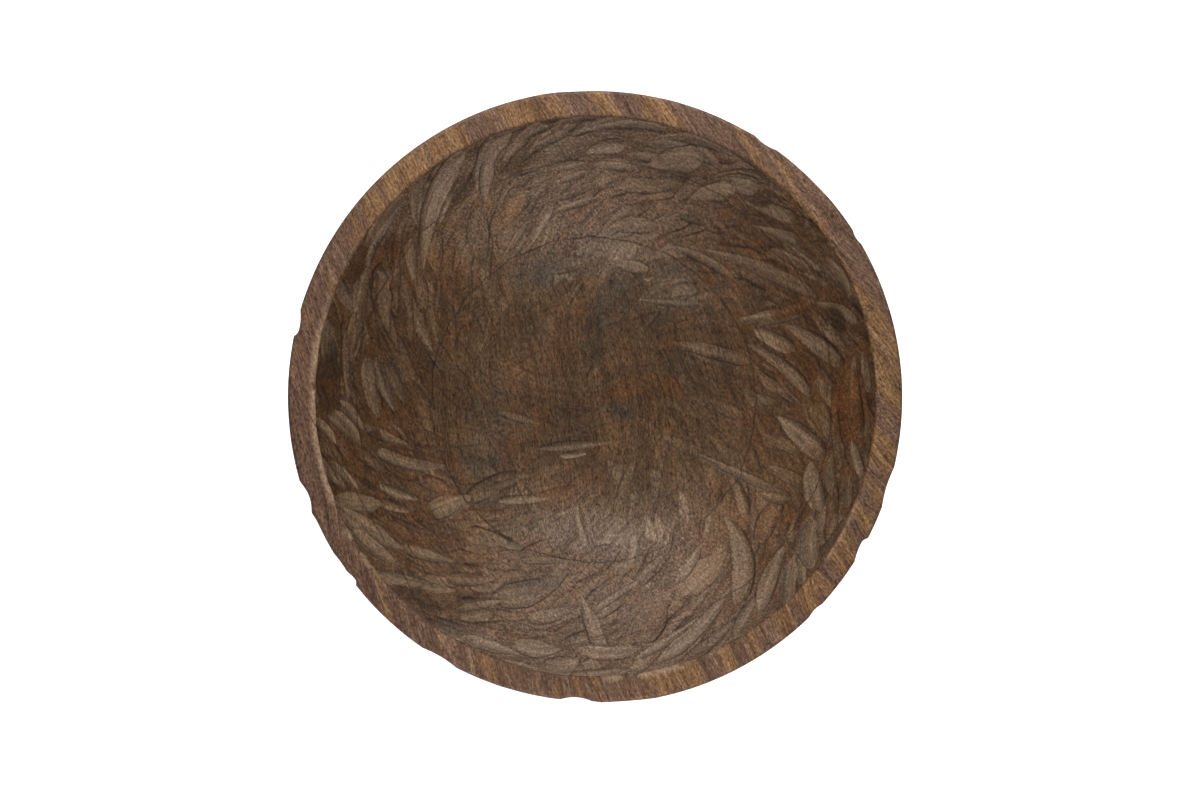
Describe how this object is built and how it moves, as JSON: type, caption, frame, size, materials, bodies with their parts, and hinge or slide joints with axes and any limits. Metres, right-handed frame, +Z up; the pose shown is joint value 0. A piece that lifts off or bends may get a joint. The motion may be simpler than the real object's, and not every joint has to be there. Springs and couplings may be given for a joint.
{
  "type": "wooden bowl",
  "caption": "Round shallow wooden bowl with a broad flat rim, a hand-gouged hollow and outside, and a flat foot, glued up from stacked layers of boards.",
  "frame": {"origin": "centre of the flat underside", "axes": "+Z up, out of the mouth of the bowl; the grain and the edge joints between boards run along Y"},
  "size_m": [0.33, 0.33, 0.075],
  "materials": {
    "base_wood_left": "stained, dry-brushed and waxed, satin",
    "base_wood_centre": "stained, dry-brushed and waxed, satin",
    "base_wood_right": "stained, dry-brushed and waxed, satin",
    "middle_wood_far_left": "stained, dry-brushed and waxed, satin",
    "middle_wood_left": "stained, dry-brushed and waxed, satin",
    "middle_wood_right": "stained, dry-brushed and waxed, satin",
    "middle_wood_far_right": "stained, dry-brushed and waxed, satin",
    "rim_wood_far_left": "sanded back and waxed, satin",
    "rim_wood_left": "sanded back and waxed, satin",
    "rim_wood_centre_front": "sanded back and waxed, satin",
    "rim_wood_centre_back": "sanded back and waxed, satin",
    "rim_wood_right": "sanded back and waxed, satin"
  },
  "bodies": {
    "root": {"base_board_left": "base_wood_left", "base_board_centre": "base_wood_centre", "base_board_right": "base_wood_right", "middle_board_far_left": "middle_wood_far_left", "middle_board_left": "middle_wood_left", "middle_board_right": "middle_wood_right", "middle_board_far_right": "middle_wood_far_right", "rim_board_far_left": "rim_wood_far_left", "rim_board_left": "rim_wood_left", "rim_board_centre_front": "rim_wood_centre_front", "rim_board_centre_back": "rim_wood_centre_back", "rim_board_right": "rim_wood_right"}
  },
  "joints": []
}
